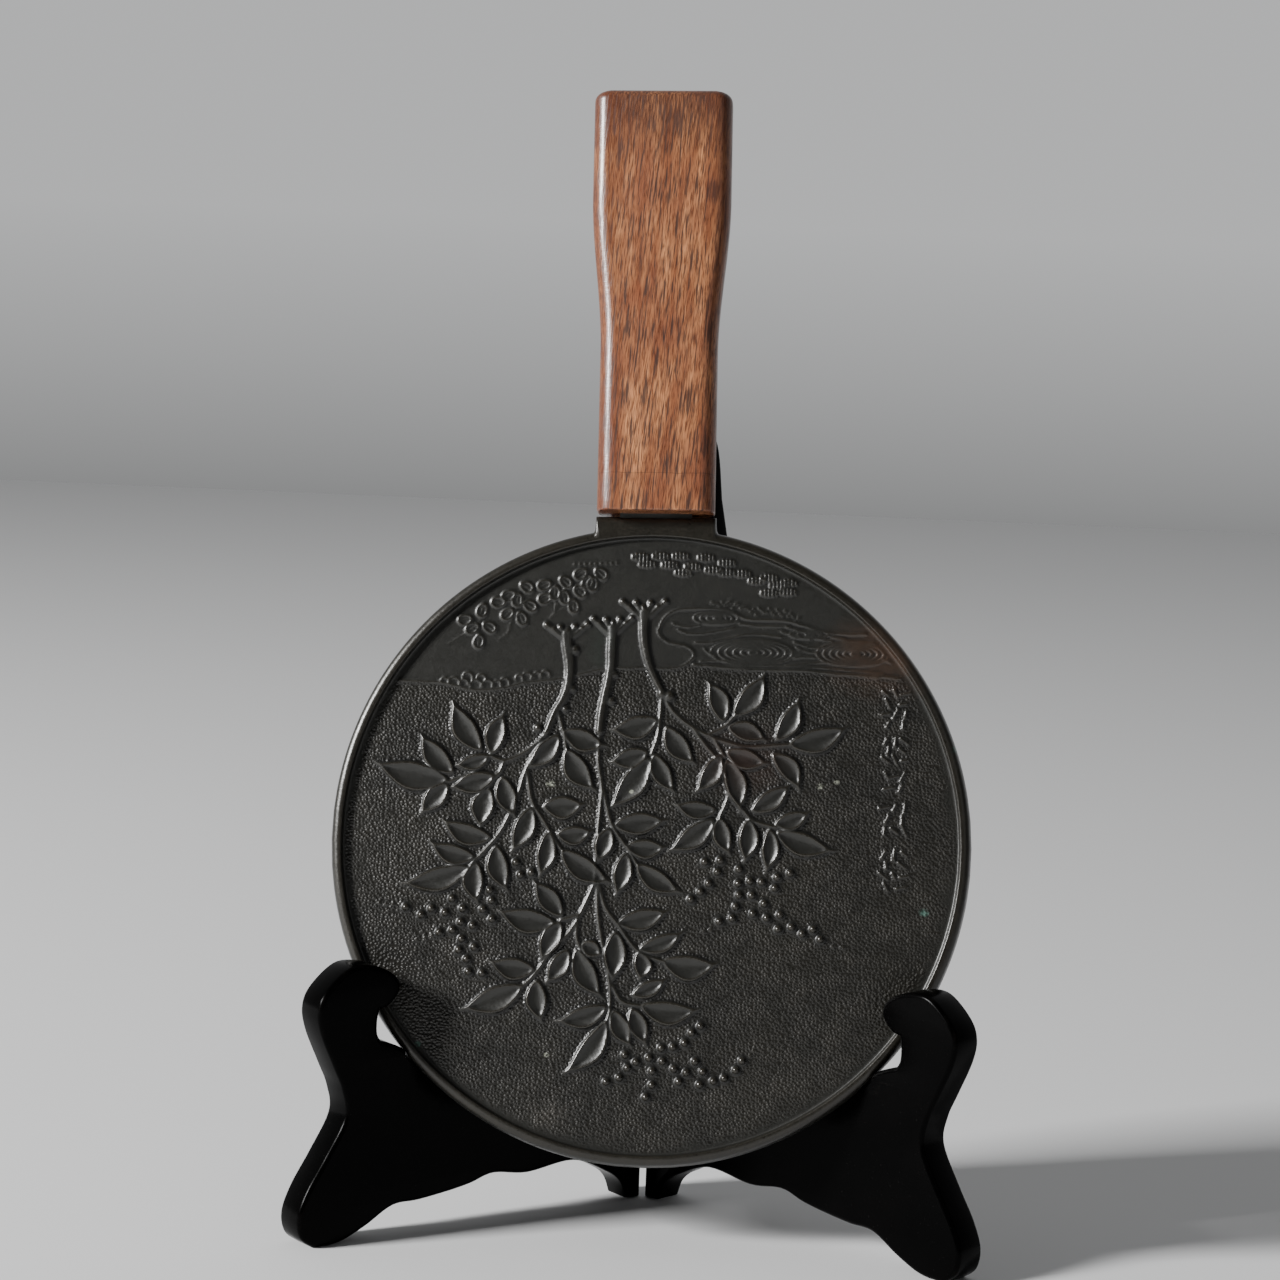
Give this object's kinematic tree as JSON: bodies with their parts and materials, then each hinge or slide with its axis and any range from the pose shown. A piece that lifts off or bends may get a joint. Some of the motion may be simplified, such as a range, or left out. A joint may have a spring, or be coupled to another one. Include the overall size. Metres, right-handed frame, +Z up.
{
  "type": "bronze hand mirror",
  "caption": "Cast bronze hand mirror with a carved spray of leaves and berries and a wooden handle, leaning in a folding black lacquered plate stand.",
  "frame": {"origin": "middle of the bounding box at floor level", "axes": "+Z up, the carved face of the mirror towards -Y, +X to the right seen from the front"},
  "size_m": [0.1602, 0.0738, 0.2693],
  "materials": {
    "bronze": "dark brown-black patina, satin, with faint verdigris and worn edges",
    "handle_wood": "reddish-brown polished open-pored wood",
    "black_lacquer": "glossy black lacquer, worn along the edges",
    "pin_metal": "dull"
  },
  "bodies": {
    "root": {"mirror": "bronze", "handle": "handle_wood", "stand_left": "black_lacquer", "stand_right": "black_lacquer", "hinge_pin": "pin_metal"}
  },
  "joints": []
}
